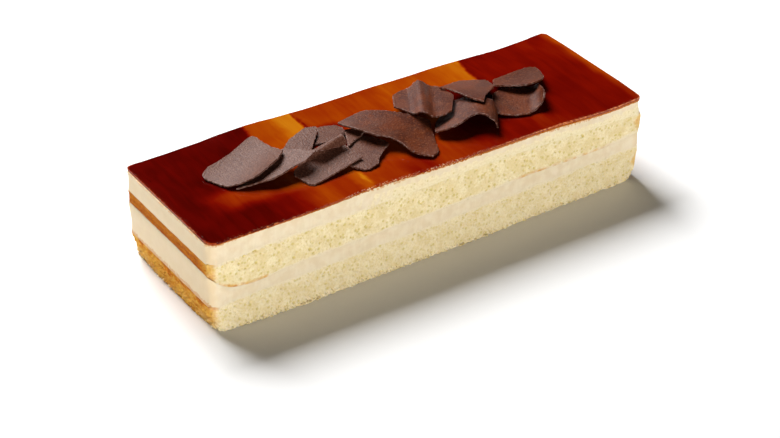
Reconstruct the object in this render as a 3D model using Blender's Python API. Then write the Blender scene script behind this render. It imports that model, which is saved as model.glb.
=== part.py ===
"""A bar-shaped tres leches cake: two layers of milk-soaked sponge, two of cream,
a caramel glaze on top and a row of loose dark chocolate shards.

The long sides are knife cuts, so the layers run straight through to them. The
short ends are the baked ends of the sponge sheets: the browned edge is rounded
there, and the cream fills in round it. The origin is at the middle of the
underside, with X along the bar and Z up.
"""

import math
import random

import bmesh
import bpy
from mathutils import Vector

MM = 0.001

# ---- Driving dimensions ----
LENGTH = 292 * MM
WIDTH = 96 * MM
HEIGHT = 58 * MM
# The radius of each upright corner, by its end (-1 left) and its side (-1 front).
CORNERS = {(-1, -1): 6 * MM, (-1, 1): 2.5 * MM, (1, -1): 2.5 * MM, (1, 1): 3 * MM}
GAP = 0.3 * MM  # between pieces that touch
GLAZE = 1.6 * MM  # thickness of the glaze away from its edge
SHARD = 1.0 * MM  # thickness of the chocolate

# Heights of the three seams between the layers, in mm along the bar. At the left
# end the sponge's browned edge turns up, so the cream below it is twice as thick.
SPONGE_BOTTOM_TOP = [
    (-150, 16), (-143, 16.5), (-136, 18), (-120, 18.5), (-60, 19),
    (0, 20), (60, 21.5), (120, 23), (140, 24), (150, 22.5),
]
CREAM_MIDDLE_TOP = [
    (-150, 38), (-146, 35.5), (-143, 32), (-138, 28), (-130, 25.5), (-117, 24.5),
    (-100, 26.5), (-60, 27.5), (0, 28), (40, 28.5), (60, 30), (120, 30), (138, 31.5),
    (150, 33.5),
]
SPONGE_TOP_TOP = [
    (-150, 44), (-130, 45.5), (-110, 47), (0, 47), (35, 48.5), (90, 47), (150, 45.5),
]

# How far each layer stands out at its two ends, in mm, against the share of its
# height: rounded browned sponge, and cream that swells out between.
LEFT_END = {
    "sponge_bottom": [(0, -1), (0.4, -0.4), (0.75, 0.4), (1, 0.4)],
    "cream_middle": [(0, 1.0), (0.5, 1.2), (0.8, 1.6), (1, 2.2)],
    "sponge_top": [(0, 0.8), (0.3, 1.0), (0.7, 0.8), (1, 0.4)],
    "cream_top": [(0, 1.2), (0.5, 1.2), (1, 0.6)],
    "caramel_glaze": [(0, 0.6), (0.5, 0.7), (0.85, 0.0), (1, -1.0)],
}
RIGHT_END = {
    "sponge_bottom": [(0, -2), (0.15, 0.8), (0.4, 2.2), (0.75, 2.6), (1, 2.4)],
    "cream_middle": [(0, 2.4), (0.5, 2.6), (1, 2.6)],
    "sponge_top": [(0, 2.2), (0.3, 3.2), (0.7, 3.8), (1, 3)],
    "cream_top": [(0, 2.6), (0.5, 1.6), (1, 1.2)],
    "caramel_glaze": [(0, 1.2), (0.5, 1.4), (0.85, 0.6), (1, -0.6)],
}

# The soft foot of the cake spreads a little at the long sides, in mm along the bar.
FRONT_FOOT = [(-149, 0), (-138, 1.2), (-125, 2.4), (-40, 2.4), (30, 1.8), (90, 0.6), (149, -1)]
BACK_FOOT = [(-149, 0), (-130, 1.5), (0, 2), (130, 1.5), (149, -1)]
END_FOOT_CORNER = 1.2 * MM  # how much more the foot draws in at the end's corners

# The glaze's drop over the edge, in mm along the bar, and the swells of its rim:
# (side of the bar, place along it, spread, rise), in mm.
GLAZE_EDGE = [(-149, 1.3), (-20, 1.2), (30, 1.8), (70, 2.2), (149, 2.3)]
RIM_SWELLS = [(1, -70, 26, 2.0), (-1, -42, 24, 1.3), (1, 112, 28, -2.3), (-1, 122, 24, -1.8)]
RIM_FROM = 24 * MM  # the rim's swells start this far from the middle line

# ---- The mesh of a layer ----
LONG_STATIONS = 26  # across the straight middle of the bar
CORNER_STATIONS = [0, 0.8, 2.5, 4.5, 7, 10, 13, 17]  # mm in from each end
ACROSS = [-1, -0.6, 0, 0.6, 1]
SOFTEN = [-3, -1.5, 0, 1.5, 3]  # mm, where a seam's height is averaged
KNIFE_WAVE = 0.25 * MM  # how uneven the knife cuts are
SEED = 7

PALETTE = {
    "sponge": ((0.80, 0.68, 0.38), 0.75),
    "cream": ((0.80, 0.63, 0.43), 0.45),
    "glaze": ((0.20, 0.02, 0.002), 0.10),
    "chocolate": ((0.13, 0.055, 0.035), 0.50),
}


def along(points, x):
    """The value at x on the line through points, level past its ends."""
    if x <= points[0][0]:
        return points[0][1]
    for (x0, y0), (x1, y1) in zip(points, points[1:]):
        if x <= x1:
            return y0 + (y1 - y0) * (x - x0) / (x1 - x0)
    return points[-1][1]


def smooth(share):
    share = min(max(share, 0.0), 1.0)
    return share * share * (3 - 2 * share)


def clear_scene():
    for thing in list(bpy.data.objects):
        bpy.data.objects.remove(thing)


def finish_of(name):
    colour, roughness = PALETTE[name]
    material = bpy.data.materials.new(name)
    material.use_nodes = True
    shader = material.node_tree.nodes["Principled BSDF"]
    shader.inputs["Base Color"].default_value = (*colour, 1)
    shader.inputs["Roughness"].default_value = roughness
    return material


def add_object(name, shape, material):
    """Turns a bmesh into a named object with its faces pointing out."""
    bmesh.ops.recalc_face_normals(shape, faces=shape.faces)
    mesh = bpy.data.meshes.new(name)
    shape.to_mesh(mesh)
    shape.free()
    mesh.materials.append(material)
    mesh.shade_smooth()
    mesh.set_sharp_from_angle(angle=math.radians(35))
    thing = bpy.data.objects.new(name, mesh)
    bpy.context.scene.collection.objects.link(thing)
    return thing


# ---- The surfaces between the layers ----
def seam(points):
    """The height of a seam, its corners softened over a few millimetres."""

    def height(x, y):
        steps = [along(points, x / MM + shift) for shift in SOFTEN]
        return sum(steps) / len(steps) * MM

    return height


def clearance(surface, x, y):
    """Half the gap, measured upright where the seam slopes along the bar."""
    slope = (surface(x + MM, y) - surface(x - MM, y)) / (2 * MM)
    return GAP / 2 * math.sqrt(1 + slope**2)


def top_of_glaze(x, y):
    """The glaze's top: level in the middle, with slow swells along the rim."""
    rim = smooth((abs(y) - RIM_FROM) / (WIDTH / 2 - RIM_FROM))
    rise = 0.0
    for side, place, spread, height in RIM_SWELLS:
        if side * y > 0:
            rise += height * MM * math.exp(-(((x / MM - place) / spread) ** 2))
    return HEIGHT + rim * rise


def under_glaze(x, y):
    """The cream's top: the glaze thins or thickens towards its edge."""
    from_edge = min(LENGTH / 2 - abs(x), WIDTH / 2 - abs(y))
    edge = 1 - smooth(from_edge / (8 * MM))
    thickness = GLAZE + (along(GLAZE_EDGE, x / MM) * MM - GLAZE) * edge
    return top_of_glaze(x, y) - thickness


def ground(x, y):
    return 0.0


SURFACES = [
    ground,
    seam(SPONGE_BOTTOM_TOP),
    seam(CREAM_MIDDLE_TOP),
    seam(SPONGE_TOP_TOP),
    under_glaze,
    top_of_glaze,
]


# ---- A layer's plan ----
def stations():
    """Places along the bar, close together round the corners."""
    half = LENGTH / 2
    ends = [half - d * MM for d in CORNER_STATIONS]
    reach = ends[-1]
    step = 2 * reach / LONG_STATIONS
    middle = [-reach + step * i for i in range(1, LONG_STATIONS)]
    return [-x for x in ends] + middle + ends[::-1]


def half_width(x, side):
    """From the middle line to this side of the bar at x, less round its corners."""
    radius = CORNERS[(-1 if x < 0 else 1, -1 if side < 0 else 1)]
    into = max(radius - (LENGTH / 2 - abs(x)), 0.0)
    return WIDTH / 2 - radius + math.sqrt(max(radius**2 - into**2, 0.0))


def foot(x, y, share):
    """How far the bottom sponge spreads at its sides near the ground."""
    spread = along(FRONT_FOOT if y < 0 else BACK_FOOT, x / MM) * MM
    return spread * (1 - share) ** 2


def layer_point(name, x, across, share, ragged):
    """A point of a layer's plan, at this share of its height."""
    y = half_width(x, across) * across
    ends = LEFT_END if x < 0 else RIGHT_END
    stand_out = along(ends[name], share) * MM
    side = KNIFE_WAVE * math.sin(x / (17 * MM) + 3 * share) + ragged
    if name == "sponge_bottom":
        side += foot(x, y, share)
        stand_out -= END_FOOT_CORNER * across**4 * (1 - share)
    if name == "caramel_glaze":
        side += along(LEFT_END[name], share) * MM - KNIFE_WAVE
    half = LENGTH / 2
    return x * (half + stand_out) / half, y * (1 + side / (WIDTH / 2))


def add_layer(name, index, shares, material, rounded=False):
    """A layer between two of the surfaces, its sides in rings at the given shares."""
    draw = random.Random(SEED + index)
    below = SURFACES[index]
    above = SURFACES[index + 1]
    places = stations()

    def floor(x, y):
        return below(x, y) + (0.0 if below is ground else clearance(below, x, y))

    def roof(x, y):
        return above(x, y) - (0.0 if above is top_of_glaze else clearance(above, x, y))

    shape = bmesh.new()
    caps = []
    for share in (0.0, 1.0):
        rows = []
        for x in places:
            row = []
            for across in ACROSS:
                px, py = layer_point(name, x, across, share, 0.0)
                z = floor(px, py) if share == 0 else roof(px, py)
                row.append(shape.verts.new((px, py, z)))
            rows.append(row)
        for first, second in zip(rows, rows[1:]):
            for a, b, c, d in zip(first, second, second[1:], first[1:]):
                shape.faces.new((a, b, c, d))
        caps.append(rows)

    last = len(places) - 1
    edge = [(i, 0) for i in range(last)] + [(last, j) for j in range(len(ACROSS) - 1)]
    edge += [(i, len(ACROSS) - 1) for i in range(last, 0, -1)]
    edge += [(0, j) for j in range(len(ACROSS) - 1, 0, -1)]
    rings = [[caps[0][i][j] for i, j in edge]]
    for share in shares:
        ring = []
        for i, j in edge:
            ragged = draw.uniform(-1, 1) * KNIFE_WAVE
            px, py = layer_point(name, places[i], ACROSS[j], share, ragged)
            low = floor(px, py)
            rise = math.sin(share * math.pi / 2) if rounded else share
            height = low + (roof(px, py) - low) * rise
            ring.append(shape.verts.new((px, py, height)))
        rings.append(ring)
    rings.append([caps[1][i][j] for i, j in edge])
    for lower, upper in zip(rings, rings[1:]):
        for k in range(len(edge)):
            n = (k + 1) % len(edge)
            shape.faces.new((lower[k], lower[n], upper[n], upper[k]))
    return add_object(name, shape, material)


# ---- Chocolate shards ----
# Each is a thin sheet that curls one way only. It starts at a point with a
# heading (degrees from +X, which its straight lines follow) and a tilt of those
# lines, and curls along arcs of (length mm, turn in degrees) from a first slope.
# Its two edges are (place along the curl, place along the straight lines), in mm.
SHARDS = {
    "shard_01_broad": dict(
        at=(-95, 22, 63), heading=24, tilt=8, slope=-8, arcs=[(30, 30)],
        near=[(-2.3, -17.5), (-1.4, -23), (2, -25), (18, -25), (24, -21), (27.5, -17),
              (31, -11.5), (33, 4)],
        far=[(-2.3, -15.5), (-0.6, -9.8), (1.2, 0), (2, 17.5), (3.2, 19.5), (5, 19.8),
             (10.7, 18.2), (18.2, 15.7), (30.4, 13), (33, 5)],
    ),
    "shard_02_spear": dict(
        at=(-81.2, 5.2, 63.9), heading=-12, tilt=11.2, slope=-4, arcs=[(21.6, 6)],
        near=[(-1, 11.3), (2, 9), (6, 3), (12, -9), (17, -21), (18.3, -23), (21.6, -3)],
        far=[(-1, 12.3), (5, 20.5), (10.9, 27.5), (14.5, 22.5), (16.7, 19.2), (17.4, 13),
             (20.1, 4.9), (21.6, -1)],
    ),
    "shard_03_leaf": dict(
        at=(-50, 21, 60.6), heading=20, tilt=5, slope=0, arcs=[(20, -4)],
        near=[(-1, -7), (2, -15), (12, -16), (17, -12)],
        far=[(-1, 8), (1, 10), (4, 12.5), (8, 8.5), (15, -5), (17, -8)],
    ),
    "shard_04_chip": dict(
        at=(-30, 21, 59.1), heading=-10, tilt=0, slope=0, arcs=[(20, -3)],
        near=[(-2, -6), (4, -7), (8, -10), (15, -14)],
        far=[(-2, -1), (0, 6), (3, 8), (10, 8), (15, 3)],
    ),
    "shard_05_scroll": dict(
        at=(-50.5, -25, 60.4), heading=190, tilt=-5, slope=1, arcs=[(17, 10), (15.5, 290)],
        near=[(0, -18), (26, -18), (32.5, -17.3)],
        far=[(0, 14), (1, 18.5), (3, 20), (10, 20.5), (14, 21), (17, 19), (20, 11), (23, 4.5),
             (25.4, 2.6), (27.2, 2.3), (28.9, -1.7), (31, -10.8), (32.5, -16.3)],
    ),
    "shard_06_fan": dict(
        at=(-15, -2, 61), heading=-20, tilt=0, slope=0, arcs=[(34, -6)],
        near=[(0, -14), (28, -19), (31, -16), (34, -11)],
        far=[(0, -6), (3, 0), (8, 6), (12, 8.5), (18, 4), (24, 0), (30, -2), (34, -8)],
    ),
    "shard_07_sliver": dict(
        at=(-21, 4, 62.5), heading=-10, tilt=0, slope=0, arcs=[(14, 0)],
        near=[(-3, -6), (5, -8), (14, -10.5)],
        far=[(-3, 5), (2, 5), (7, 0), (10, -5.5), (14, -9.5)],
    ),
    "shard_08_wing": dict(
        at=(-20, 17, 64.2), heading=26, tilt=-4, slope=14, arcs=[(42, -32), (20, 16)],
        near=[(0, -8), (6, -11), (22, -12), (28, -11), (34, -7), (42, -6), (49, -8), (55, -7),
              (62, -4)],
        far=[(0, -6), (4, 11), (10, 15), (16, 17), (26, 21), (41, 27.5), (47, 21), (57, 9),
             (61, 5), (62, 1)],
    ),
    "shard_09_ridge": dict(
        at=(11, 15, 64.1), heading=60, tilt=-4, slope=0,
        arcs=[(10, 4), (5, 45), (7, -90), (5, 45), (13, -6)],
        near=[(1, -3), (6, -7), (11, -13), (18, -19), (24, -21), (32, -17.5), (36, -13),
              (37, -4), (38.5, 5)],
        far=[(1, 12), (5, 17), (9, 20), (14, 22.5), (18, 24), (24, 21.5), (31, 19), (35, 13),
             (38.5, 7.5)],
    ),
    "shard_10_claw": dict(
        at=(17, -14, 59.5), heading=55, tilt=-6, slope=19,
        arcs=[(26, 0), (10, -30), (9, -75), (4, -5)],
        near=[(4.5, -6), (9, -7), (16, -6), (20, -4), (25, 1), (29.5, 3.5), (34, 2), (38, -1),
              (42, -1), (48, 4)],
        far=[(4.5, 6), (8, 16), (15, 31), (20, 31), (30, 26), (40, 26), (45, 16), (48, 5)],
    ),
    "shard_11_flag": dict(
        at=(65, 13.5, 63.7), heading=-34, tilt=0, slope=13, arcs=[(34, -6)],
        near=[(-3, 3), (-1, -6), (5, -11), (12.5, -18), (15, -12), (23, -5), (28, -1), (34, 7)],
        far=[(-3, 9), (-1, 11.5), (6, 14), (11, 14.6), (18, 11.4), (25, 9), (34, 8)],
    ),
    "shard_12_petal": dict(
        at=(98, 11, 61.5), heading=-3, tilt=0, slope=6, arcs=[(22, 6)],
        near=[(-1, 2), (0, -5), (2, -18), (9, -22), (14, -17), (19, -12), (22, -5)],
        far=[(-1, 10), (2, 13), (8, 12), (18, 8.5), (20, 6), (22, 0)],
    ),
    "shard_13_curl": dict(
        at=(68, -14, 60), heading=57, tilt=0, slope=-6, arcs=[(18, 8), (12, 80)],
        near=[(-4, -8), (0, -11), (8, -11), (17, -9), (20, -6), (25, -3), (28, -1), (30, 3)],
        far=[(-4, 12), (2, 20), (16, 22), (25, 22), (28, 13), (30, 6)],
    ),
}
SHARD_STEP = 5.0  # mm between stations along a flat curl
SHARD_TURN = 22.0  # degrees between stations along a tight one
SHARD_CLOSE = 0.7  # mm under which two stations are one
SHARD_ROWS = 3  # faces across a sheet


def curl(slope, arcs, distance):
    """(forward, up) after this distance along the arcs, in mm."""
    angle = math.radians(slope)
    forward = min(distance, 0.0) * math.cos(angle)
    up = min(distance, 0.0) * math.sin(angle)
    left = max(distance, 0.0)
    for length, turn in arcs + [(math.inf, 0)]:
        run = min(left, length)
        bend = math.radians(turn) / length
        if abs(bend) < 1e-9:
            forward += run * math.cos(angle)
            up += run * math.sin(angle)
        else:
            after = angle + bend * run
            forward += (math.sin(after) - math.sin(angle)) / bend
            up -= (math.cos(after) - math.cos(angle)) / bend
            angle = after
        left -= run
        if left <= 0:
            break
    return forward, up


def curl_stations(shard):
    """Places along the curl: every corner of the edges, and enough round each arc."""
    first = shard["near"][0][0]
    last = shard["near"][-1][0]
    places = {float(s) for s, _ in shard["near"] + shard["far"]}
    start = 0.0
    for length, turn in shard["arcs"]:
        parts = max(math.ceil(length / SHARD_STEP), math.ceil(abs(turn) / SHARD_TURN))
        places |= {start + length * i / parts for i in range(parts + 1)}
        start += length
    kept = [float(first)]
    for place in sorted(places):
        if kept[-1] + SHARD_CLOSE <= place <= last - SHARD_CLOSE:
            kept.append(place)
    return kept + [float(last)]


def add_shard(name, shard, material):
    """A curled sheet of chocolate, thickened evenly to both sides."""
    heading = math.radians(shard["heading"])
    tilt = math.radians(shard["tilt"])
    level = Vector((math.cos(heading), math.sin(heading), 0)) * math.cos(tilt)
    line = level + Vector((0, 0, math.sin(tilt)))
    ahead = Vector((math.sin(heading), -math.cos(heading), 0))
    out = ahead.cross(line)
    shape = bmesh.new()
    rows = []
    for place in curl_stations(shard):
        forward, up = curl(shard["slope"], shard["arcs"], place)
        near = along(shard["near"], place)
        far = along(shard["far"], place)
        row = []
        for k in range(SHARD_ROWS + 1):
            reach = near + (far - near) * k / SHARD_ROWS
            point = Vector(shard["at"]) + ahead * forward + out * up + line * reach
            row.append(shape.verts.new(point * MM))
        rows.append(row)
    for first, second in zip(rows, rows[1:]):
        for a, b, c, d in zip(first, second, second[1:], first[1:]):
            shape.faces.new((a, b, c, d))
    sheet = add_object(name, shape, material)
    wall = sheet.modifiers.new("thickness", "SOLIDIFY")
    wall.thickness = SHARD
    wall.offset = 0
    return sheet


def main():
    clear_scene()
    finishes = {name: finish_of(name) for name in PALETTE}
    sponge, cream = finishes["sponge"], finishes["cream"]
    add_layer("sponge_bottom", 0, [0.15, 0.4, 0.75], sponge)
    add_layer("cream_middle", 1, [0.5, 0.8], cream)
    add_layer("sponge_top", 2, [0.3, 0.7], sponge)
    add_layer("cream_top", 3, [0.5], cream)
    add_layer("caramel_glaze", 4, [0.5, 0.85], finishes["glaze"], rounded=True)
    for name, shard in SHARDS.items():
        add_shard(name, shard, finishes["chocolate"])


main()
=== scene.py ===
# %% [markdown]
# # Tres leches cake
# The cake is a bar of two milk-soaked sponges and two creams under a caramel glaze, with a row of
# loose chocolate shards on top. Its solid form is loaded ready made, one mesh for each layer and
# each shard, and is never moved. This lesson gives every one of them its fine surface: open crumb,
# browned ends, smooth cream, a glossy rim and grainy chocolate.
# Lengths are in metres, written as millimetres times MM.

# %% Load the solid form
import math
import random

import bpy
import numpy as np
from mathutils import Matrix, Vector, noise
from mathutils.kdtree import KDTree


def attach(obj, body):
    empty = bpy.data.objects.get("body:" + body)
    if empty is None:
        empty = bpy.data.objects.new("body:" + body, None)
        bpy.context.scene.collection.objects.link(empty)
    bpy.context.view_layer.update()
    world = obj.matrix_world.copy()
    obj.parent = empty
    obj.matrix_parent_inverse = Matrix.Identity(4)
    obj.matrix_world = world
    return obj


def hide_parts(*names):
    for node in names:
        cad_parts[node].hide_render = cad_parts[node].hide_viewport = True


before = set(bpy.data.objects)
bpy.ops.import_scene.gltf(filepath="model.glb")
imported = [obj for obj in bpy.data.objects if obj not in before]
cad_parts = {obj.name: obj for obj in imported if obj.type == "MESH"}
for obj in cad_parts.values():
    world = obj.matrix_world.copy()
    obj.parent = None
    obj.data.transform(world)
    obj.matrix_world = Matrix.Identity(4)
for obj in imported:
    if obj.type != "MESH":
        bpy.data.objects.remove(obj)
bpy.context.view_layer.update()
MM = 0.001
HALF_LENGTH = 146 * MM
HALF_WIDTH = 48 * MM

# %% [markdown]
# ## Camera
# The picture is taken with a long lens from above the near left corner, so that the long cut side,
# one baked end and the top all show. Its place is given by a bearing, a height and a distance.

# %% Camera
CAMERA_BEARING = -33.35  # degrees round from straight on to the long side
CAMERA_HEIGHT = 33.04  # degrees above the floor
CAMERA_DISTANCE = 1248.7 * MM
CAMERA_REACH = 20  # metres
LOOKED_AT = Vector((-0.9, -1.2, -2.2)) * MM
LENS = 97.1  # for a sensor 36 mm wide


def towards(bearing, height):
    """The unit vector towards a bearing and a height, in degrees."""
    b = math.radians(bearing)
    h = math.radians(height)
    return Vector((math.sin(b) * math.cos(h), -math.cos(b) * math.cos(h), math.sin(h)))


def facing(direction):
    """The rotation of a camera or a lamp that stands in this direction and looks back."""
    return (-direction).to_track_quat("-Z", "Y").to_euler()


camera_side = towards(CAMERA_BEARING, CAMERA_HEIGHT)
bpy.ops.object.camera_add(
    location=LOOKED_AT + camera_side * CAMERA_DISTANCE, rotation=facing(camera_side)
)
camera = bpy.context.object
camera.data.lens = LENS
camera.data.clip_end = CAMERA_REACH
bpy.context.scene.camera = camera
print("camera, mm:", [round(v / MM) for v in camera.location])

# %% [markdown]
# ## Floor and light
# A plain pale floor and two large soft lamps. One hangs high behind the cake, so that the shards
# drop their shadows towards the camera. The other stands low in front and lights the cut side
# without flattening those shadows. The glaze is a mirror, and it stays deep red only if the room
# round it is nearly dark. So the room has two levels: it gives hardly any light, but the camera sees
# it as a pale backdrop. The standard view transform keeps the colours.

# %% Floor and light
FLOOR_SIZE = 8.0
FLOOR_PAINT = (246, 246, 246)
FLOOR_ROUGHNESS = 0.9
BACKDROP = (238, 238, 238)  # the room as the camera sees it
ROOM_LEVEL = 0.03  # the light that it gives
LAMPS = {  # bearing, height, distance, width, depth, power in watts
    "key": (183, 49, 1.6, 0.9, 0.8, 52.0),
    "front": (-18, 6, 3.0, 2.4, 0.6, 67.0),
}


def tone(red, green, blue):
    """A colour as a screen shows it, from 0 to 255, turned into light."""
    shares = [level / 255 for level in (red, green, blue)]
    return tuple(s / 12.92 if s <= 0.04045 else ((s + 0.055) / 1.055) ** 2.4 for s in shares) + (1.0,)


bpy.ops.mesh.primitive_plane_add(size=FLOOR_SIZE)
floor = bpy.context.object
floor.name = "floor"
floor_paint = bpy.data.materials.new("floor")
floor_paint.use_nodes = True
floor_shader = floor_paint.node_tree.nodes["Principled BSDF"]
floor_shader.inputs["Base Color"].default_value = tone(*FLOOR_PAINT)
floor_shader.inputs["Roughness"].default_value = FLOOR_ROUGHNESS
floor.data.materials.append(floor_paint)

for name, (bearing, height, distance, width, depth, power) in LAMPS.items():
    side = towards(bearing, height)
    bpy.ops.object.light_add(type="AREA", location=side * distance, rotation=facing(side))
    lamp = bpy.context.object
    lamp.name = name
    lamp.data.shape = "RECTANGLE"
    lamp.data.size = width
    lamp.data.size_y = depth
    lamp.data.energy = power
    lamp.visible_camera = False
    print(name, "lamp,", power, "watts at", distance, "metres")

room = bpy.data.worlds.new("room")
bpy.context.scene.world = room
room.use_nodes = True
room_nodes = room.node_tree.nodes
room_nodes["Background"].inputs["Strength"].default_value = ROOM_LEVEL
seen = room_nodes.new("ShaderNodeBackground")
seen.inputs["Color"].default_value = tone(*BACKDROP)
ray = room_nodes.new("ShaderNodeLightPath")
either = room_nodes.new("ShaderNodeMixShader")
link = room.node_tree.links.new
link(ray.outputs["Is Camera Ray"], either.inputs["Fac"])
link(room_nodes["Background"].outputs[0], either.inputs[1])
link(seen.outputs[0], either.inputs[2])
link(either.outputs[0], room_nodes["World Output"].inputs["Surface"])
bpy.context.scene.view_settings.view_transform = "Standard"

# %% [markdown]
# ## Copying a solid and cutting it finer
# Every piece starts as a copy of its solid. The copy's loose triangles are merged and joined into
# quads. Its long edges are then halved, again and again, with the subdivide operator, but only where
# the surface shows. There it becomes dense enough to carry pores and chips as real shape.


# %% Copy and cut
WELD = 0.002 * MM  # vertices closer than this are one
QUAD_ANGLE = math.radians(60)  # the most that two triangles may bend to become a quad


def mode(name):
    bpy.ops.object.mode_set(mode=name)


def only(piece):
    """Selects this piece alone, and makes it the active one."""
    bpy.ops.object.select_all(action="DESELECT")
    piece.select_set(True)
    bpy.context.view_layer.objects.active = piece


def copy_of(node, name):
    """A new piece with the merged mesh of a node of the solid form."""
    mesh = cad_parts[node].data.copy()
    mesh.name = name
    mesh.materials.clear()
    piece = bpy.data.objects.new(name, mesh)
    bpy.context.scene.collection.objects.link(piece)
    only(piece)
    bpy.ops.mesh.customdata_custom_splitnormals_clear()
    mode("EDIT")
    bpy.ops.mesh.select_all(action="SELECT")
    bpy.ops.mesh.remove_doubles(threshold=WELD)
    bpy.ops.mesh.tris_convert_to_quads(face_threshold=QUAD_ANGLE, shape_threshold=QUAD_ANGLE)
    mode("OBJECT")
    return piece


def read(items, key, width, kind=float):
    """One property of all vertices, edges or faces as a numpy array."""
    flat = np.empty(len(items) * width, kind)
    items.foreach_get(key, flat)
    return flat.reshape(-1, width) if width > 1 else flat


def points_of(piece):
    return read(piece.data.vertices, "co", 3)


def edges_of(piece):
    """The two vertices of each edge."""
    return read(piece.data.edges, "vertices", 2, np.int32)


def set_points(piece, points):
    piece.data.vertices.foreach_set("co", points.astype(np.float32).ravel())
    piece.data.update()


def faces_of(piece):
    """Centres and normals, and then the vertex, edge and face of each corner."""
    mesh = piece.data
    sizes = read(mesh.polygons, "loop_total", 1, np.int32)
    return (
        read(mesh.polygons, "center", 3),
        read(mesh.polygons, "normal", 3),
        read(mesh.loops, "vertex_index", 1, np.int32),
        read(mesh.loops, "edge_index", 1, np.int32),
        np.repeat(np.arange(len(sizes)), sizes),
    )


def mask(total, chosen):
    """False everywhere but at the chosen places."""
    marked = np.zeros(total, bool)
    marked[chosen] = True
    return marked


def halve_edges(piece, longest, region):
    """Halves the edges of the region's faces until none is longer than longest."""
    while True:
        centres, normals, _, corner_edges, corner_faces = faces_of(piece)
        points = points_of(piece)
        ends = edges_of(piece)
        length = np.linalg.norm(points[ends[:, 0]] - points[ends[:, 1]], axis=1)
        picked = mask(len(ends), corner_edges[region(centres, normals)[corner_faces]])
        picked &= length > longest
        if not picked.any():
            return
        only(piece)
        bpy.context.tool_settings.mesh_select_mode = (False, True, False)
        mode("EDIT")
        bpy.ops.mesh.select_all(action="DESELECT")
        mode("OBJECT")
        piece.data.edges.foreach_set("select", picked)
        mode("EDIT")
        bpy.ops.mesh.subdivide(number_cuts=1, ngon=False)
        mode("OBJECT")


# %% [markdown]
# Halving keeps the solid's flat facets. Moving each vertex towards the middle of its neighbours,
# again and again, rounds them off. The smooth operator would also draw in the sharp seams, so the
# averaging is done here with numpy, along chosen edges only.


# %% Averaging
PULL = 0.5  # share of the way to the mean that one round moves a point
OUTLINE_ROUNDS = 2
WALL_ROUNDS = 12
FACE_ROUNDS = 40


def relax(points, ends, free, times):
    """Draws the free points towards the mean of their neighbours along the given edges."""
    first = np.concatenate([ends[:, 0], ends[:, 1]])
    second = np.concatenate([ends[:, 1], ends[:, 0]])
    count = np.bincount(first, minlength=len(points))
    moving = free & (count > 0)
    share = np.maximum(count, 1)
    for _ in range(times):
        for axis in range(3):
            total = np.bincount(first, weights=points[second, axis], minlength=len(points))
            shift = (total / share - points[:, axis]) * PULL
            points[moving, axis] += shift[moving]
    return points


# %% [markdown]
# Relief and colour rest on a few measures: a soft fade between two values, smooth random bumps, and
# the nearest of many points. What a finish has to know, such as where the crust lies, is kept on the
# mesh as one value for each vertex.

# %% Measures
SHADE_ANGLE = 50  # degrees, past which an edge is a corner
SEED_STEPS = (1.0, 1.7, 2.3)  # a seed shifts the bumps this far along each axis
OCTAVE_FALL = 0.8  # how fast finer bumps lose strength
OCTAVE_RATIO = 2.0  # and how much finer each set of them is


def shade(piece):
    """Smooth shading that still breaks at the true corners."""
    only(piece)
    bpy.ops.object.shade_smooth_by_angle(angle=math.radians(SHADE_ANGLE))


def fade(values, low, high):
    """0 below low, 1 above high, and a soft rise between."""
    share = np.clip((values - low) / (high - low), 0, 1)
    return share * share * (3 - 2 * share)


def grain(points, size, octaves, seed=0.0):
    """Smooth random values from about -1 to 1, with bumps of the given size."""
    shift = Vector([seed * step for step in SEED_STEPS])
    rule = (OCTAVE_FALL, OCTAVE_RATIO, octaves)
    return np.array([noise.fractal(Vector(p) / size + shift, *rule) for p in points])


def rough(points, kind, octaves, seed=0.0):
    """Relief of a kind: its height, and the size of its bumps."""
    height, size = kind
    return height * grain(points, size, octaves, seed)


def keep(piece, **values):
    """Stores named values for each vertex, for the material to read."""
    for name, value in values.items():
        layer = piece.data.attributes.new(name, "FLOAT", "POINT")
        layer.data.foreach_set("value", value.astype(np.float32))


def nearest(points, targets):
    """For each point the index of its nearest target, and how far off that is."""
    tree = KDTree(len(targets))
    for i, target in enumerate(targets):
        tree.insert(target, i)
    tree.balance()
    found = [tree.find(point) for point in points]
    return np.array([f[1] for f in found]), np.array([f[2] for f in found])


# %% [markdown]
# ## A small language for finishes
# A material is a tree of nodes. These helpers add one node each and hand on its output, so that a
# finish reads like a recipe. Patterns are measured in millimetres on the cake itself.


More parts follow.
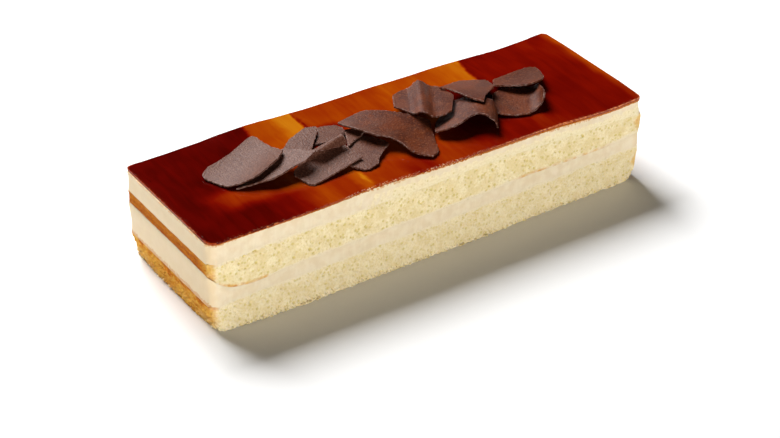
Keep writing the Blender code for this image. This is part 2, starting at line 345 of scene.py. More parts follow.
# %% Finishes
class Finish:
    def __init__(self, name, **levels):
        self.material = bpy.data.materials.new(name)
        self.material.use_nodes = True
        self.tree = self.material.node_tree
        self.shader = self.tree.nodes["Principled BSDF"]
        for socket, level in levels.items():
            self.shader.inputs[socket.replace("_", " ")].default_value = level
        self.place = self.tree.nodes.new("ShaderNodeTexCoord").outputs["Object"]

    def node(self, kind, inputs, **settings):
        """Adds a node. Each input is a value or another node's output."""
        made = self.tree.nodes.new("ShaderNode" + kind)
        for key, value in settings.items():
            setattr(made, key, value)
        for socket, value in inputs.items():
            if isinstance(value, bpy.types.NodeSocket):
                self.tree.links.new(value, made.inputs[socket])
            else:
                made.inputs[socket].default_value = value
        return made

    def grain(self, size, detail, stretch=(1, 1, 1), warp=0.0):
        """Random values round 0.5, in bumps of the given size in mm."""
        scale = [1 / (size * MM * s) for s in stretch]
        placed = self.node("Mapping", {"Vector": self.place, "Scale": scale}).outputs[0]
        inputs = {"Vector": placed, "Scale": 1.0, "Detail": detail, "Distortion": warp}
        return self.node("TexNoise", inputs).outputs["Fac"]

    def cells(self, size, reach):
        """Round pits. The surface cuts cells of this size in mm, each at its own depth."""
        placed = self.node("Mapping", {"Vector": self.place, "Scale": [1 / (size * MM)] * 3}).outputs[0]
        cell = self.node("TexVoronoi", {"Vector": placed, "Scale": 1.0, "Randomness": 1.0})
        return self.span(cell.outputs["Distance"], reach, 0.3 * reach)

    def ramp(self, value, stops):
        """A colour ramp with stops of (place, colour)."""
        made = self.node("ValToRGB", {"Fac": value})
        elements = made.color_ramp.elements
        for i, (at, colour) in enumerate(stops):
            element = elements[i] if i < 2 else elements.new(1.0)
            element.position = at
            element.color = colour
        return made.outputs["Color"]

    def stored(self, name):
        """A value that was kept on the mesh."""
        return self.node("Attribute", {}, attribute_name=name).outputs["Fac"]

    def span(self, value, low, high, start=0.0, end=1.0):
        """Maps low..high to start..end with a soft rise, level outside."""
        inputs = {"Value": value, "From Min": low, "From Max": high, "To Min": start, "To Max": end}
        return self.node("MapRange", inputs, interpolation_type="SMOOTHSTEP").outputs[0]

    def maths(self, operation, first, second=0.0):
        return self.node("Math", {0: first, 1: second}, operation=operation).outputs[0]

    def times(self, first, second):
        return self.maths("MULTIPLY", first, second)

    def plus(self, first, second):
        return self.maths("ADD", first, second)

    def mix(self, share, first, second):
        inputs = {"Factor": share, 6: first, 7: second}
        return self.node("Mix", inputs, data_type="RGBA").outputs[2]

    def along_bar(self):
        """The place along the bar, in metres."""
        return self.node("SeparateXYZ", {0: self.place}).outputs[0]

    def set(self, socket, output):
        self.tree.links.new(output, self.shader.inputs[socket])

    def bump(self, height, depth, strength):
        """Relief of the given depth in mm, too fine for the mesh."""
        inputs = {"Height": height, "Distance": depth * MM, "Strength": strength}
        self.set("Normal", self.node("Bump", inputs).outputs[0])

    def done(self):
        print(self.material.name, "finish,", len(self.tree.nodes), "nodes")
        return self.material


# %% [markdown]
# ## The sponge
# A soaked sponge is a pale, open crumb. The knife has cut the long sides, so they show the crumb's
# cells as pits, wider in the upper layer. The short ends are the baked edge of the sheet: golden to
# brown, closed and a little fuzzy. The colour reads four values kept on the mesh: how deep a pore
# is, how much cream is smeared over it, how browned the crust is, and how far it has gone from gold
# to brown. Fine grain breaks up their borders.

# %% Sponge finish
CRUMB_PALE = tone(242, 226, 186)
CRUMB_DEEP = tone(228, 207, 155)
CRUMB_LIGHT = tone(249, 238, 208)
# Pores and pits: a yellower crumb, darkened as painted shade in the hollows.
PORE_SHADE = tone(206, 184, 100)
CREAM_PALE = tone(236, 219, 187)
CREAM_DEEP = tone(228, 207, 171)
CRUST = [  # from golden to brown
    (0.0, tone(220, 168, 70)), (0.5, tone(200, 120, 24)), (1.0, tone(166, 80, 8)),
]


def sponge_finish():
    f = Finish(
        "sponge", Roughness=0.85, Specular_IOR_Level=0.12, Subsurface_Weight=0.2,
        Subsurface_Scale=1.5 * MM, Subsurface_Radius=(1.0, 0.7, 0.35),
    )
    broad = f.span(f.grain(7, 2), 0.35, 0.65)
    fine = f.grain(1.3, 4)
    shaded_pits = f.maths("MAXIMUM", f.cells(3.4, 0.36), f.times(f.cells(1.7, 0.36), 0.3))
    # The crumb: slow changes of tone, then grain both darker and lighter, then pits and pores in a
    # yellower crumb colour darkened as painted shade.
    colour = f.mix(broad, CRUMB_DEEP, CRUMB_PALE)
    colour = f.mix(f.span(fine, 0.36, 0.6, 0.65, 0.0), colour, CRUMB_DEEP)
    colour = f.mix(f.span(fine, 0.58, 0.75, 0.0, 0.5), colour, CRUMB_LIGHT)
    colour = f.mix(f.times(shaded_pits, 0.7), colour, PORE_SHADE)
    colour = f.mix(f.span(f.stored("pore"), 0.05, 0.9, 0.0, 0.8), colour, PORE_SHADE)
    # Cream smeared over it.
    ragged = f.plus(f.stored("smear"), f.span(fine, 0.35, 0.65, -0.3, 0.3))
    colour = f.mix(f.span(ragged, 0.2, 0.8, 0.0, 0.85), colour, CREAM_PALE)
    # The crust over both, in streaks that run across the bar.
    streaks = f.grain(3.0, 4, stretch=(1, 3.0, 0.6))
    toast = f.plus(f.stored("toast"), f.span(streaks, 0.3, 0.7, -0.2, 0.2))
    crust = f.ramp(f.plus(toast, f.span(fine, 0.3, 0.7, 0.15, -0.15)), CRUST)
    browned = f.times(f.stored("browned"), f.span(fine, 0.25, 0.45, 0.9, 1.0))
    f.set("Base Color", f.mix(browned, colour, crust))
    f.bump(f.maths("SUBTRACT", fine, f.times(shaded_pits, 0.5)), 0.45, 0.9)
    return f.done()


sponge = sponge_finish()

# %% [markdown]
# The walls of all the layers are prepared alike: they are cut finer and rounded, and it is measured
# where each vertex is between the seams. The solid layers stand a hair apart, and a real cake has no
# such slit, so every layer also reaches a fifth of a millimetre over each seam.

# %% The walls of a layer
WALL_STEP = {"sponge": 0.65 * MM, "cream": 1.25 * MM}
FOOT_STEP = 0.36 * MM
FOOT_STRIP = 3 * MM
END_REACH = {-1: 1.2 * MM, 1: 2.7 * MM}  # how far the ends stand out where two layers meet
SEAM_OVERLAP = 0.2 * MM
SEAM_BINS = 80  # steps along the bar for measuring the seams
STEEP = 0.7  # a face whose normal rises less than this belongs to the wall
TURNED = 0.4  # a face whose normal reaches this far towards a side is turned to it
SQUARE_SIDE = (0.8, 0.98)  # from not square on to a long side, to fully so
SQUARE_END = (0.9, 0.99)
MEETING = 5 * MM  # this near a seam two layers are brought to one plane
CLEAR_OF_FOOT = 6 * MM  # above this height


class Walls:
    """The fine walls of a layer, with the facts that its relief needs for each vertex."""

    def __init__(self, node, step):
        self.piece = copy_of(node, node + "_cut")
        self.steep = lambda centres, normals: np.abs(normals[:, 2]) < STEEP
        halve_edges(self.piece, step, self.steep)
        if node == "sponge_bottom":
            halve_edges(self.piece, FOOT_STEP, self.foot)
        centres, normals, corners, corner_edges, corner_faces = faces_of(self.piece)
        self.points = points_of(self.piece)
        total = len(self.points)
        wall_corner = self.steep(centres, normals)[corner_faces]
        self.on_wall = mask(total, corners[wall_corner])
        self.seam = self.on_wall & mask(total, corners[~wall_corner])
        wall_edges = corner_edges[wall_corner]
        self.round_off(wall_edges, np.intersect1d(wall_edges, corner_edges[~wall_corner]))
        self.outward = np.zeros((total, 3))
        for axis in (0, 1):
            weights = normals[corner_faces[wall_corner], axis]
            self.outward[:, axis] = np.bincount(corners[wall_corner], weights, minlength=total)
        size = np.linalg.norm(self.outward, axis=1, keepdims=True)
        self.outward /= np.maximum(size, 1e-9)
        self.measure()
        self.meet_neighbours()

    def foot(self, centres, normals):
        """The lowest strip of the wall, on the sides that show its ragged edge."""
        shown = np.minimum(normals[:, 0], normals[:, 1]) < -TURNED
        return self.steep(centres, normals) & (centres[:, 2] < FOOT_STRIP) & shown

    def round_off(self, wall_edges, seam_edges):
        """Averages the seams along themselves first, and then the wall between them."""
        ends = edges_of(self.piece)
        between = self.on_wall & ~self.seam
        relax(self.points, ends[seam_edges], self.seam, WALL_ROUNDS)
        relax(self.points, ends[np.unique(wall_edges)], between, WALL_ROUNDS)

    def measure(self):
        """The share of the way up from the lower seam to the upper one."""
        x, z = self.points[:, 0], self.points[:, 2]
        middle = np.interp(x, *self.middle_line())
        self.low = self.seam_height(self.seam & (z < middle))
        self.high = self.seam_height(self.seam & (z > middle))
        self.share = np.clip((z - self.low) / (self.high - self.low), 0, 1)

    def meet_neighbours(self):
        """Near the seams, brings each side and end of all the layers to one plane."""
        x, y, z = self.points.T
        self.from_seam = np.minimum(z - self.low, self.high - z)
        near = (1 - fade(self.from_seam, 0, MEETING)) * (z > CLEAR_OF_FOOT)
        side = fade(np.abs(self.outward[:, 1]), *SQUARE_SIDE)
        end = fade(np.abs(self.outward[:, 0]), *SQUARE_END)
        reach = HALF_LENGTH + np.where(x < 0, END_REACH[-1], END_REACH[1])
        self.points[:, 1] += (np.sign(y) * HALF_WIDTH - y) * near * side
        self.points[:, 0] += (np.sign(x) * reach - x) * near * end

    def middle_line(self):
        """Places along the bar, and the height half way between the seams there."""
        x, z = self.points[self.seam, 0], self.points[self.seam, 2]
        place = np.digitize(x, np.linspace(x.min(), x.max(), SEAM_BINS))
        used = [b for b in range(1, SEAM_BINS + 1) if (place == b).any()]
        middles = [(z[place == b].min() + z[place == b].max()) / 2 for b in used]
        return [x[place == b].mean() for b in used], middles

    def seam_height(self, chosen):
        """The height of a seam at each vertex's place along the bar."""
        x, z = self.points[chosen, 0], self.points[chosen, 2]
        order = np.argsort(x)
        return np.interp(self.points[:, 0], x[order], z[order])

    def push(self, distance):
        """Moves the wall out by a distance for each vertex."""
        self.points += self.outward * (distance * self.on_wall)[:, None]

    def close_seams(self, below=True):
        """Lets the layer reach a little over its seams."""
        z = self.points[:, 2]
        middle = (self.low + self.high) / 2
        caps = self.seam | ~self.on_wall
        if below:
            self.points[:, 2] -= SEAM_OVERLAP * (caps & (z < middle))
        self.points[:, 2] += SEAM_OVERLAP * (caps & (z > middle))

    def finish(self, material):
        set_points(self.piece, self.points)
        self.piece.data.materials.append(material)
        shade(self.piece)
        node = self.piece.name.removesuffix("_cut")
        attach(self.piece, "root")
        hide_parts(node)
        print(self.piece.name, len(self.piece.data.polygons), "faces")
        return self.piece


# %% [markdown]
# Pores are dents of many sizes, so they are kept as a list of spots on the cut side and pressed in
# one by one. The large ones in front are listed where they catch the eye, and the rest are drawn
# at random from a fixed seed. Each is an ellipse that leans a little.

# %% Pores
FRONT_PORES_TOP = [  # along the bar, height, length, width, all in mm
    (-129, 36, 1.8, 1.0), (-125, 35.5, 1.6, 1.2), (-104, 33, 2.6, 1.4), (-90, 42.5, 1.8, 0.9),
    (-83.5, 37.5, 1.6, 1.1), (-83.5, 33, 2.0, 1.2), (-78, 35, 1.6, 1.2), (-46, 43, 2.6, 1.2),
    (-40, 44.5, 1.6, 0.9), (-30.5, 34.5, 2.2, 1.2), (-24, 40, 2.2, 1.0), (-12, 39, 2.2, 1.1),
    (-5, 33.5, 2.2, 1.1), (3, 42, 1.6, 0.9), (11, 39, 2.8, 1.8), (15, 45, 1.8, 1.0),
    (20, 39, 1.8, 1.1), (17, 30.5, 2.4, 1.6), (32, 41, 2.2, 1.1), (38, 46.5, 2.4, 1.8),
    (39, 42.5, 3.0, 1.8), (37.5, 38, 2.0, 1.2), (66, 35, 2.4, 1.4), (61.5, 34.5, 2.2, 1.3),
    (112, 35, 1.8, 1.2), (62, 41, 1.8, 1.0), (105, 46, 1.6, 1.0), (128, 33.5, 1.4, 0.9),
]
FRONT_PORES_BOTTOM = [
    (-12, 16.5, 1.8, 1.2), (5, 10.5, 1.2, 0.9), (-61, 14, 1.4, 1.0), (-103, 11, 1.3, 0.9),
    (-110, 1.5, 1.4, 0.9), (-94, 8.5, 1.3, 0.8), (82, 17, 1.6, 0.9), (120, 19, 1.5, 0.9),
    (138, 5.5, 1.6, 1.0), (37, 12.5, 1.2, 0.8), (-3.5, 5, 1.3, 0.9),
]
RANDOM_PORES = {  # how many on each side, least and greatest length, and length at full depth
    "sponge_top": (420, 0.7, 2.2, 1.6),
    "sponge_bottom": (620, 0.6, 1.5, 1.4),
}
PORE_SPAN = (-143, 144)  # where they lie along the bar
PORE_MARGIN = 1  # and how far they stay from the seams
PORE_SHAPE = (0.5, 0.95)  # width over length
PORE_LEAN = 0.45  # how far, in radians, a pore leans over on average
PORE_TURN = 0.7  # and how much that varies
PORE_BOWL = 1.15  # more than 1, for a small flat bottom
PORED = 0.6  # a wall has pores where it is turned to the side this far


def random_pores(draw, count, low, high, smallest, largest):
    spots = []
    for _ in range(count):
        length = smallest + (largest - smallest) * draw.random() ** 3
        width = length * draw.uniform(*PORE_SHAPE)
        spots.append((draw.uniform(*PORE_SPAN), draw.uniform(low, high), length, width))
    return spots


def press_pores(walls, spots, side, draw, full_length):
    """How deep each vertex lies in a pore, from 0 to 1. The side is -1 in front, 1 behind."""
    deepest = np.zeros(len(walls.points))
    chosen = walls.on_wall & (walls.outward[:, 1] * side > PORED)
    x, z = walls.points[chosen, 0] / MM, walls.points[chosen, 2] / MM
    found = np.zeros(len(x))
    for along, height, length, width in spots:
        lean = PORE_LEAN + draw.uniform(-PORE_TURN, PORE_TURN)
        near = np.abs(x - along) < length
        dx, dz = x[near] - along, z[near] - height
        far = (dx * math.sin(lean) - dz * math.cos(lean)) / (length / 2)
        wide = (dx * math.cos(lean) + dz * math.sin(lean)) / (width / 2)
        bowl = np.clip(PORE_BOWL - far**2 - wide**2, 0, 1) * min(length / full_length, 1)
        found[near] = np.maximum(found[near], bowl)
    deepest[chosen] = found
    return deepest


# %% [markdown]
# A sponge's walls get fine relief for the crumb, a slow wave from the knife, the pores, lumps on the
# baked ends and nicks along the foot. Crumb, pores and lumps calm down towards the seams, where
# cream lies over them. Relief is given by its height and the size of its bumps. The other pairs of
# numbers are ranges over which something fades in.

# %% Relief of a sponge
CRUMB = (0.28 * MM, 1.1 * MM)
KNIFE_WAVE = (0.2 * MM, 9 * MM)  # alike in all the layers
FOOT_ROUGH = (0.8 * MM, 1.7 * MM)
LUMPS = {"sponge_top": (0.2 * MM, 1.9 * MM), "sponge_bottom": (0.7 * MM, 1.9 * MM)}  # on the ends
FOOT_NICK = 1.6 * MM  # the deepest nick in the lowest edge
NICK_SIZE = 1.3 * MM
FOOT_FADE = 4 * MM
PORE_DEPTH = 0.8 * MM
EDGE_CALM = 1.2 * MM  # how near a seam the relief calms down
SEAM_TUCK = 0.08 * MM  # at a seam the sponge lies this far behind the cream's edge
ON_FLOOR = 1 * MM  # what lies lower than this is the foot
BAKED_END = (0.6, 0.9)  # how far a wall is turned to the end
CRUST_FADE = 4.2 * MM  # from pale crumb to full crust, round a corner
CRUST_WANDER = 1.1 * MM  # how far its border wanders
CRUST_PATCH = 5  # half the height of its patch at the right corner
CRUST_WRAPS = {  # where it begins on the left, how far past the right end, the patch's reach, height
    "sponge_top": (141.0, -0.4, 3.4, 41),
    "sponge_bottom": (141.4, 0.0, 4.4, 13),
}
RIGHT_END = (0.75, 0.97)
NEAR_CORNER = (42, 48)  # across the bar, where the ends are paler


def crust_of(walls, left, outside, reach, height):
    """How browned each wall vertex is: fully at the ends, fading round the corners."""
    x, y, z = walls.points.T / MM
    patchy = grain(walls.points, 4 * MM, 3, 5.0)
    patch = np.exp(-(((z - height) / CRUST_PATCH) ** 2)) * fade(-y, 0, 30)
    start = np.where(x < 0, left, HALF_LENGTH / MM + outside - reach * patch) * MM
    far = np.abs(x) * MM + patchy * CRUST_WANDER
    crust = fade(far, start, start + CRUST_FADE)
    right_end = fade(walls.outward[:, 0] + 0.1 * patchy, *RIGHT_END)
    crust = np.maximum(crust, right_end) * walls.on_wall
    return crust * (1 - 0.3 * fade(-y + 2 * patchy, *NEAR_CORNER))


def make_sponge(node, seed, front_spots, toast_of, line_of):
    """One sponge: its relief, and the values that its finish reads."""
    walls = Walls(node, WALL_STEP["sponge"])
    draw = random.Random(seed)
    points = walls.points
    browned = crust_of(walls, *CRUST_WRAPS[node])
    count, smallest, largest, full_length = RANDOM_PORES[node]
    low = float(walls.low.min() / MM) + PORE_MARGIN
    high = float(walls.high.max() / MM) - PORE_MARGIN
    front = front_spots + random_pores(draw, count, low, high, smallest, largest)
    back = random_pores(draw, count, low, high, smallest, largest)
    pore = press_pores(walls, front, -1, draw, full_length)
    pore += press_pores(walls, back, 1, draw, full_length)
    calm = fade(walls.from_seam, 0, EDGE_CALM)
    pore *= calm * (1 - browned)
    near_foot = 1 - fade(points[:, 2], 0, FOOT_FADE)
    end = fade(np.abs(walls.outward[:, 0]), *BAKED_END)
    relief = rough(points, CRUMB, 3, seed) * calm - PORE_DEPTH * pore
    relief += rough(points, KNIFE_WAVE, 2)
    relief += rough(points, FOOT_ROUGH, 3, seed + 0.5) * near_foot
    relief += rough(points, LUMPS[node], 3, seed + 0.7) * end * calm
    relief -= SEAM_TUCK * (1 - calm) * (points[:, 2] > ON_FLOOR)
    walls.push(relief)
    at_floor = walls.seam & (points[:, 2] < ON_FLOOR)
    points[:, 2] += at_floor * np.clip(grain(points, NICK_SIZE, 3, seed + 0.9), 0, 1) * FOOT_NICK
    browned = np.maximum(browned, line_of(walls))
    keep(walls.piece, pore=pore, smear=smear_of(walls), browned=browned, toast=toast_of(walls))
    walls.close_seams(below=node != "sponge_bottom")
    return walls.finish(sponge)


# %% Marks on a sponge
SMEAR_WIDTH = 1.6 * MM  # of the cream dragged over the crumb beside a seam
SMEAR_FILM = 0.3  # a faint film of cream all over the lower sponge
SMEARED_CUT = (0.3, 0.8)  # how far a wall is turned to a long side
PULLED_UP = (-70 * MM, -20 * MM)  # from here on crumb lies over the upper cream, and not the reverse
UPPER_LAYERS = 40 * MM  # only the upper sponge and cream reach higher
FRONT = 0.3  # a wall turned this far towards -Y belongs to the front
LINE_HEIGHT = (0.5 * MM, 2.4 * MM)  # above the seam
LINE_LEFT = (-114, -109)  # along the bar the line stops,
LINE_RIGHT = (50, 62)  # begins again
LINE_END = (114, 130)  # and ends


def smear_of(walls):
    """Cream that the knife has dragged over the crumb beside a seam."""
    x, _, z = walls.points.T
    lowest = walls.low < ON_FLOOR
    width = SMEAR_WIDTH * (1 + grain(walls.points, 8 * MM, 3, 12.0))
    near_floor = lowest & (z < walls.low.max() + FOOT_FADE)
    beside = np.where(near_floor, walls.high - z, walls.from_seam)
    pulled_up = fade(x, *PULLED_UP) * (walls.share > 0.5) * (walls.high > UPPER_LAYERS)
    cut = fade(np.abs(walls.outward[:, 1]), *SMEARED_CUT) * walls.on_wall
    smear = 1 - fade(beside, width * 0.3, width + 0.4 * MM)
    return np.maximum(smear, SMEAR_FILM * lowest) * cut * (1 - 0.8 * pulled_up)


def line_under_top(walls):
    """The browned underside of the upper sponge, seen as a thin broken line."""
    x = walls.points[:, 0] / MM
    close = 1 - fade(walls.points[:, 2] - walls.low, *LINE_HEIGHT)
    broken = 0.5 + 1.1 * grain(walls.points, 5 * MM, 2, 9.0)
    left = 1 - fade(x, *LINE_LEFT)
    right = 0.8 * fade(x, *LINE_RIGHT) * (1 - fade(x, *LINE_END))
    front = walls.outward[:, 1] < -FRONT
    return np.clip(close * (left + right) * broken, 0, 0.85) * front * walls.on_wall


def nothing(walls):
    return np.zeros(len(walls.points))


def toast_top(walls):
    """Browner towards its lower edge and its back corner, golden at the near corner."""
    corner = fade(-walls.points[:, 1], 34 * MM, 48 * MM)
    return np.clip(0.95 - 0.4 * walls.share - 0.75 * corner, 0, 1)


def toast_bottom(walls):
    """Golden, and browner along its upper edge."""
    corner = fade(-walls.points[:, 1], 36 * MM, 48 * MM)
    ragged = walls.share + 0.4 * grain(walls.points, 5 * MM, 3, 6.0)
    return np.clip(0.15 + 0.6 * fade(ragged, 0.7, 1.1) - 0.2 * corner, 0, 1)


# %% Upper and lower sponge
make_sponge("sponge_top", 3, FRONT_PORES_TOP, toast_top, line_under_top)
lower_sponge = make_sponge("sponge_bottom", 8, FRONT_PORES_BOTTOM, toast_bottom, nothing)

# %% [markdown]
# Crumbs break off along the foot of the cut. One crumb is a ball that is pulled out of round. It is
# copied, turned and scaled along the foot, with a few denser clusters, and the copies are joined.

# %% Crumbs along the foot
CRUMB_PATCHES = [  # along the front: from, to, how many, in mm
    (-143, 144, 90), (-23, -14, 14), (14, 19, 7), (29, 39, 10), (60, 100, 18), (-110, -70, 18),
]
END_CRUMBS = 18
END_SPAN = (-44, 46)  # where they lie across the bar, in mm
CRUMB_SIZES = (0.5, 1.3)  # across, in mm
CRUMB_SINK = 0.35  # share of a crumb that is buried in the foot
CRUMB_LIFT = (0.4, 0.9)  # height of its middle, as a share of its size
CRUMB_TURNS = (0, 6)  # radians about each axis
BESIDE = 6  # mm out from the foot, where a crumb seeks the nearest vertex of it
FOOT_TOP = 1.5 * MM
BALL_RADIUS = 0.5 * MM
BALL_STRETCH = (1.25, 0.85, 0.75)
BALL_DENTS = 0.09 * MM


def one_crumb():
    """A ball a millimetre across, pulled out of round and dented."""
    bpy.ops.object.select_all(action="DESELECT")
    bpy.ops.mesh.primitive_ico_sphere_add(subdivisions=2, radius=BALL_RADIUS)
    lump = bpy.context.object
    mode("EDIT")
    bpy.ops.mesh.select_all(action="SELECT")
    bpy.ops.transform.resize(value=BALL_STRETCH, center_override=(0, 0, 0))
    bpy.ops.transform.vertex_random(offset=BALL_DENTS, seed=5)
    mode("OBJECT")
    return lump


def foot_crumbs():
    draw = random.Random(17)
    spots = []
    for start, end, count in CRUMB_PATCHES:
        for _ in range(count):
            spots.append((draw.uniform(start, end), -HALF_WIDTH / MM, 0, -1))
    for _ in range(END_CRUMBS):
        spots.append((-HALF_LENGTH / MM, draw.uniform(*END_SPAN), -1, 0))
    points = points_of(lower_sponge)
    foot = points[points[:, 2] < FOOT_TOP]
    beside = [((x + BESIDE * to_x) * MM, (y + BESIDE * to_y) * MM, 0) for x, y, to_x, to_y in spots]
    at_foot, _ = nearest(beside, foot)
    lump = one_crumb()
    copies = []
    for (_, _, to_x, to_y), found in zip(spots, at_foot):
        size = CRUMB_SIZES[0] + (CRUMB_SIZES[1] - CRUMB_SIZES[0]) * draw.random() ** 2
        at = Vector(foot[found])
        out = Vector((to_x, to_y, 0)) * size * (0.5 - CRUMB_SINK)
        up = Vector((0, 0, 1)) * size * draw.uniform(*CRUMB_LIFT)
        copy = bpy.data.objects.new("crumb", lump.data.copy())
        copy.location = at + (out + up) * MM
        copy.rotation_euler = [draw.uniform(*CRUMB_TURNS) for _ in range(3)]
        copy.scale = [size] * 3
        bpy.context.scene.collection.objects.link(copy)
        copies.append(copy)
    bpy.data.objects.remove(lump)
    only(copies[0])
    for copy in copies:
        copy.select_set(True)
    bpy.ops.object.join()
    bpy.ops.object.transform_apply()
    piece = bpy.context.object
    piece.name = "foot_crumbs"
    piece.data.name = "foot_crumbs"
    piece.data.materials.clear()
    piece.data.materials.append(sponge)
    bpy.ops.object.shade_smooth()
    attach(piece, "root")
    print(piece.name, len(copies), "crumbs,", len(piece.data.polygons), "faces")


foot_crumbs()

# %% [markdown]
# ## The cream
# The cream is smooth and ivory. The knife leaves faint upright streaks on its cut sides, and at the
# ends it swells out softly between the sponges. Under the glaze a thin line of it is stained by the
# caramel, and at the left end browned crumb of the lower sponge is dragged up into it. On the front
# the knife has also pulled pale crumb up over the upper cream. So the mesh keeps two values, one
# for the stains and one for the crumb.

# %% Cream finish
CREAM_END = tone(226, 201, 158)
STAIN = tone(208, 150, 84)


def cream_finish():
    f = Finish(
        "cream", Roughness=0.5, Subsurface_Weight=0.3,
        Subsurface_Scale=2.5 * MM, Subsurface_Radius=(1.0, 0.7, 0.4),
    )
    streaks = f.grain(1.6, 3, stretch=(1, 1, 9))
    colour = f.mix(f.span(f.grain(6, 3), 0.35, 0.65), CREAM_DEEP, CREAM_PALE)
    colour = f.mix(f.span(streaks, 0.45, 0.7, 0.0, 0.35), colour, CREAM_DEEP)
    ends = f.span(f.maths("ABSOLUTE", f.along_bar()), 141 * MM, 146 * MM, 0.0, 0.7)
    colour = f.mix(ends, colour, CREAM_END)
    # Crumb over it, in the sponge's own colours with painted shade in its pits, and then the stains.
    fine = f.grain(1.3, 4)
    crumb = f.mix(f.span(fine, 0.36, 0.6, 0.65, 0.0), CRUMB_PALE, CRUMB_DEEP)
    crumb = f.mix(f.times(f.cells(3.4, 0.3), 0.6), crumb, PORE_SHADE)
    over = f.span(f.grain(3.0, 4, stretch=(1, 1, 2)), 0.3, 0.7, -0.4, 0.4)
    over = f.plus(f.stored("crumbed"), over)
    colour = f.mix(f.span(over, 0.4, 0.8, 0.0, 0.9), colour, crumb)
    ragged = f.plus(f.stored("stain"), f.span(f.grain(2.2, 4), 0.3, 0.7, -0.35, 0.35))
    colour = f.mix(f.span(ragged, 0.45, 0.75, 0.0, 0.75), colour, STAIN)
    f.set("Base Color", colour)
    f.bump(streaks, 0.15, 0.6)
    return f.done()


cream = cream_finish()

# %% Cream pieces
KNIFE_STREAK = (0.05 * MM, 1.5 * MM)
STREAK_STRETCH = (1.0, 1.0, 6.0)
STAINED = (0.1 * MM, 1.4 * MM)  # below the glaze
DRAGGED = (0.2 * MM, 3.6 * MM)  # above the lower sponge
DRAGGED_END = (144.5 * MM, 146 * MM)
CRUMBED = (2 * MM, 5 * MM)  # below the glaze


def make_cream(node, seed, stain_of, crumbed_of):
    walls = Walls(node, WALL_STEP["cream"])
    points = walls.points
    streaks = rough(points / np.array(STREAK_STRETCH), KNIFE_STREAK, 2, seed)
    calm = fade(walls.from_seam, 0, EDGE_CALM)
    walls.push(streaks * calm + rough(points, KNIFE_WAVE, 2))
    stain = stain_of(walls) * walls.on_wall
    keep(walls.piece, stain=stain, crumbed=crumbed_of(walls) * walls.on_wall)
    walls.close_seams()
    walls.finish(cream)


def under_caramel(walls):
    return 0.75 * (1 - fade(walls.high - walls.points[:, 2], *STAINED))


def dragged_crumb(walls):
    """Browned crumb at the foot of the cream, on the left end only."""
    above = 1 - fade(walls.points[:, 2] - walls.low, *DRAGGED)
    return above * fade(-walls.points[:, 0], *DRAGGED_END)


def crumb_over_cream(walls):
    """Crumb that the knife pulled up over the front of the upper cream, more to the right."""
    below = fade(walls.high - walls.points[:, 2], *CRUMBED)
    right = fade(walls.points[:, 0], *PULLED_UP)
    return below * right * (walls.outward[:, 1] < -FRONT)


make_cream("cream_top", 21, under_caramel, crumb_over_cream)
make_cream("cream_middle", 22, dragged_crumb, nothing)

# %% [markdown]
# ## The caramel glaze
# The glaze is a clear sheet of caramel brushed across the cream in broad strokes. Where it is thick
# it looks maroon, and where it is thin it runs through orange to gold. So its finish rests on one
# value, how thin the sheet is, and a colour ramp. A very low roughness gives the wet gloss.
# The rim has marks of its own, each kept as its strength along the edge: a painted highlight
# line where the edge would catch the light, dragged crumbs, a thin foot and a worn top.

# %% Glaze finish
CARAMEL = [  # thinness of the sheet, and its colour over the pale cream
    (0.0, tone(62, 2, 0)), (0.15, tone(86, 4, 1)), (0.3, tone(108, 10, 1)),
    (0.5, tone(130, 34, 2)), (0.65, tone(146, 54, 2)), (0.8, tone(162, 76, 4)),
    (1.0, tone(178, 104, 12)),
]
HIGHLIGHT_PAINT = tone(222, 132, 76)  # painted highlight: a fine light line where the edge would catch the light
EDGE_CRUMBS = tone(226, 190, 150)  # cream and crumb dragged over the edge by the knife


def glaze_finish():
    """Rise is 0 at the rim's lower edge, 1 at its upper edge, and then 1 more for each mm inwards."""
    f = Finish("caramel", Roughness=0.05, Specular_IOR_Level=0.25)
    rise = f.stored("rise")
    streaks = f.grain(5, 3, stretch=(1, 6, 1), warp=0.6)
    thin = f.plus(f.stored("thin"), f.span(streaks, 0.3, 0.7, -0.04, 0.04))
    # The sheet is thin down its side and, where worn, along its upper edge.
    wall = f.times(f.span(rise, 0.2, 0.65, 0.95, 0.5), f.span(rise, 0.65, 0.85, 1.0, 0.0))
    thin = f.maths("MAXIMUM", thin, f.times(wall, f.stored("foot")))
    worn = f.times(f.span(rise, 0.8, 2.2, 0.7, 0.0), f.stored("worn"))
    thin = f.maths("MAXIMUM", thin, worn)
    colour = f.ramp(thin, CARAMEL)
    # Over that come the painted highlight line and the crumbs.
    line = f.times(f.span(rise, 0.6, 0.8), f.span(rise, 1.0, 1.25, 1.0, 0.0))
    line = f.times(line, f.span(f.grain(1.5, 3), 0.4, 0.6, 0.25, 1.0))
    colour = f.mix(f.times(line, f.stored("painted_highlight")), colour, HIGHLIGHT_PAINT)
    band = f.times(f.span(rise, 0.0, 0.2), f.span(rise, 1.2, 2.8, 1.0, 0.0))
    crumbs = f.times(band, f.span(f.grain(0.9, 3), 0.53, 0.66, 0.0, 0.85))
    colour = f.mix(f.times(crumbs, f.stored("crumbs")), colour, EDGE_CRUMBS)
    f.set("Base Color", colour)
    return f.done()


caramel = glaze_finish()

# %% [markdown]
# How thin the sheet is comes from a list of brush strokes, which add up. Several of them fade in
# from the left and stop sharply at their right, where the next one overlaps them.

